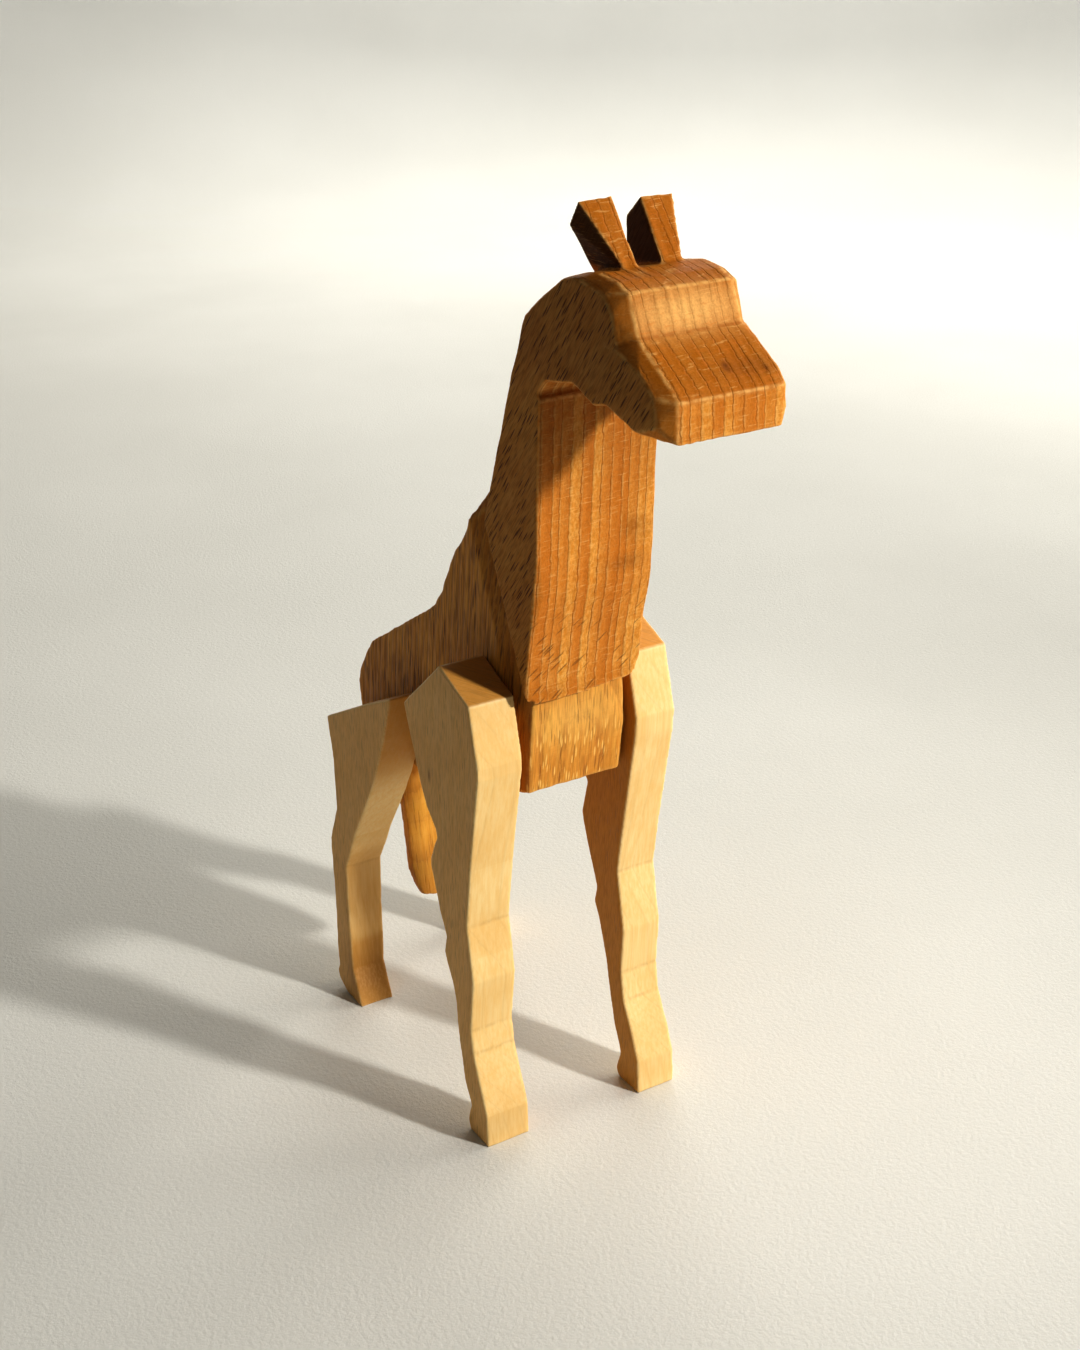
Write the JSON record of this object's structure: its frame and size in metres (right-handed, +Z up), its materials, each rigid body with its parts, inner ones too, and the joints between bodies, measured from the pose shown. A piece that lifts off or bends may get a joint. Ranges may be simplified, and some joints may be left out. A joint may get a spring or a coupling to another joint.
{
  "type": "posable carved wooden giraffe",
  "caption": "Standing giraffe carved with flat facets from oak, beech and pale maple boards, with legs, neck and tail that turn on hidden disc magnets.",
  "frame": {"origin": "on the floor, under the middle of the figure's box, all four feet standing", "axes": "+Z up, -Y forward along the nose, +X towards the animal's left side"},
  "size_m": [0.0531, 0.1372, 0.2245],
  "materials": {
    "oak": "sanded and oiled oak, coarse open pores",
    "oak_tail": "knife-carved and oiled oak",
    "beech": "knife-carved and oiled beech, short dark ray flecks",
    "maple": "sanded and oiled maple, fine even grain",
    "nickel_magnet": "satin nickel plating"
  },
  "bodies": {
    "body": {"body": "oak", "neck_seat_magnet": "nickel_magnet", "tail_seat_magnet": "nickel_magnet", "hip_magnet_front_right": "nickel_magnet", "hip_magnet_front_left": "nickel_magnet", "hip_magnet_rear_right": "nickel_magnet", "hip_magnet_rear_left": "nickel_magnet"},
    "neck_and_head": {"neck_and_head": "beech", "neck_magnet": "nickel_magnet"},
    "tail": {"tail": "oak_tail", "tail_magnet": "nickel_magnet"},
    "leg_front_right": {"leg_front_right": "maple", "leg_magnet_front_right": "nickel_magnet"},
    "leg_front_left": {"leg_front_left": "maple", "leg_magnet_front_left": "nickel_magnet"},
    "leg_rear_right": {"leg_rear_right": "maple", "leg_magnet_rear_right": "nickel_magnet"},
    "leg_rear_left": {"leg_rear_left": "maple", "leg_magnet_rear_left": "nickel_magnet"}
  },
  "joints": [
    {"name": "leg_swing_front_right", "type": "hinge", "parent": "body", "child": "leg_front_right", "pos_m": [-0.015, -0.0053, 0.103], "axis": [1, 0, 0], "range_deg": [-20, 15]},
    {"name": "leg_swing_front_left", "type": "hinge", "parent": "body", "child": "leg_front_left", "pos_m": [0.015, -0.0053, 0.103], "axis": [1, 0, 0], "range_deg": [-20, 15]},
    {"name": "leg_swing_rear_right", "type": "hinge", "parent": "body", "child": "leg_rear_right", "pos_m": [-0.015, 0.0427, 0.082], "axis": [1, 0, 0], "range_deg": [-15, 20]},
    {"name": "leg_swing_rear_left", "type": "hinge", "parent": "body", "child": "leg_rear_left", "pos_m": [0.015, 0.0427, 0.082], "axis": [1, 0, 0], "range_deg": [-15, 20]},
    {"name": "neck_swivel", "type": "hinge", "parent": "body", "child": "neck_and_head", "pos_m": [0, -0.0105, 0.133], "axis": [0, -0.9063, 0.4226], "range_deg": [-30, 30]},
    {"name": "tail_swivel", "type": "hinge", "parent": "body", "child": "tail", "pos_m": [0, 0.0623, 0.081], "axis": [0, 0.9816, -0.1908], "range_deg": [-10, 10]}
  ]
}
